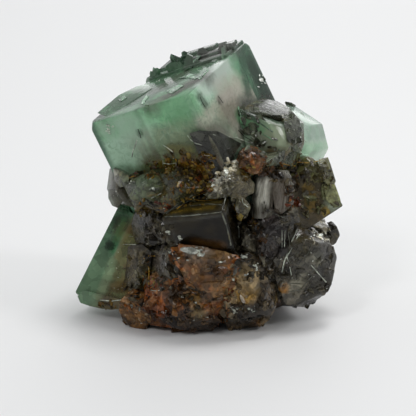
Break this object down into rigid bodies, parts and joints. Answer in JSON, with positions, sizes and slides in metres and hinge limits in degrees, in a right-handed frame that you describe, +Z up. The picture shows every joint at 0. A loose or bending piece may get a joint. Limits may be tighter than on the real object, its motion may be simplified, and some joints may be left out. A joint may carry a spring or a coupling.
{
  "type": "fluorite cluster",
  "caption": "Cluster of intergrown green and smoky fluorite cubes on rust stained quartz, standing on a broken flat base.",
  "frame": {"origin": "middle of the cluster's box in X and Y, on the surface it rests on", "axes": "+X right and +Y to the back as seen from the front, where the largest green cube stands at the top left; +Z up"},
  "size_m": [0.0416, 0.0332, 0.0416],
  "materials": {
    "green_fluorite": "clear green crystal with smooth worn faces and colour zones",
    "mint_fluorite": "pale mint green crystal, clear and bright",
    "olive_fluorite": "smoky olive crystal, half clear",
    "grey_fluorite": "grey green crystal, half clear, layered",
    "smoky_fluorite": "nearly black clear crystal with glossy faces",
    "smoky_quartz": "dark grey smoky quartz, glassy where broken",
    "rusty_quartz": "quartz stained orange brown by rust, wet gloss",
    "grey_quartz": "grey brown broken quartz, glassy chips",
    "glassy_quartz": "brown glassy quartz",
    "cream_quartz": "cream rough quartz",
    "silky_quartz": "grey fibrous quartz with a silky sheen",
    "sugary_quartz": "whitish fine grained quartz that sparkles",
    "matrix_rock": "dark brown broken rock"
  },
  "bodies": {
    "root": {"green_cube_pair": "green_fluorite", "left_green_cube": "green_fluorite", "dark_cube": "smoky_fluorite", "olive_cube": "olive_fluorite", "mint_crystal": "mint_fluorite", "small_grey_crystal": "grey_fluorite", "ledge_crystal": "grey_fluorite", "back_green_cube": "green_fluorite", "back_left_cube": "grey_fluorite", "back_olive_cube": "olive_fluorite", "rusty_quartz_block": "rusty_quartz", "smoky_fan_crystal": "smoky_quartz", "cream_quartz": "cream_quartz", "dark_chip": "smoky_quartz", "silky_blade_left": "silky_quartz", "silky_blade_right": "silky_quartz", "dark_prism": "smoky_quartz", "glassy_quartz_tooth": "glassy_quartz", "sugary_ridge": "sugary_quartz", "rust_knob": "rusty_quartz", "grey_quartz_lump": "grey_quartz", "brown_quartz_foot": "rusty_quartz", "back_quartz_lump": "grey_quartz", "matrix_rock": "matrix_rock"}
  },
  "joints": []
}
